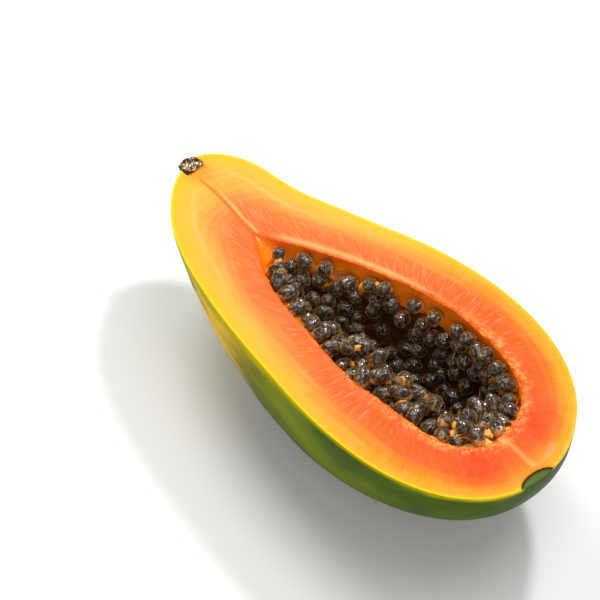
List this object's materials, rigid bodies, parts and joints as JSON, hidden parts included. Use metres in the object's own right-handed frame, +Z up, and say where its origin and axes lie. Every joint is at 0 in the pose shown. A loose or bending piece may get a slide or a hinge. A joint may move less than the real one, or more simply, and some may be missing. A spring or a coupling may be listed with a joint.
{
  "type": "papaya half",
  "caption": "Ripe papaya cut lengthwise, lying on its skin with the cut face up: orange flesh, a hollow lined with dark seeds and the stub of the stalk.",
  "frame": {"origin": "under the middle of the half, on the surface that it lies on", "axes": "+X from the stem end to the blossom end, +Y across the half towards its wider side at the stem, +Z up, out of the cut face"},
  "size_m": [0.214, 0.0998, 0.0609],
  "materials": {
    "fruit": "moist cut flesh, and a smooth waxy green to yellow skin",
    "stem": "dry, fibrous, cut by the knife",
    "seed": "wet, wrinkled, under a thin clear skin"
  },
  "bodies": {
    "root": {"fruit_half": "fruit", "seed_01": "seed", "seed_02": "seed", "seed_03": "seed", "seed_04": "seed", "seed_05": "seed", "seed_06": "seed", "seed_07": "seed", "seed_08": "seed", "seed_09": "seed", "seed_10": "seed", "seed_11": "seed", "seed_12": "seed", "seed_13": "seed", "seed_14": "seed", "seed_15": "seed", "seed_16": "seed", "seed_17": "seed", "seed_18": "seed", "seed_19": "seed", "seed_20": "seed", "seed_21": "seed", "seed_22": "seed", "seed_23": "seed", "seed_24": "seed", "seed_25": "seed", "seed_26": "seed", "seed_27": "seed", "seed_28": "seed", "seed_29": "seed", "seed_30": "seed", "seed_31": "seed", "seed_32": "seed", "seed_33": "seed", "seed_34": "seed", "seed_35": "seed", "seed_36": "seed", "seed_37": "seed", "seed_38": "seed", "seed_39": "seed", "seed_40": "seed", "seed_41": "seed", "seed_42": "seed", "seed_43": "seed", "seed_44": "seed", "seed_45": "seed", "seed_46": "seed", "seed_47": "seed", "seed_48": "seed", "seed_49": "seed", "seed_50": "seed", "stem_stub": "stem"}
  },
  "joints": []
}
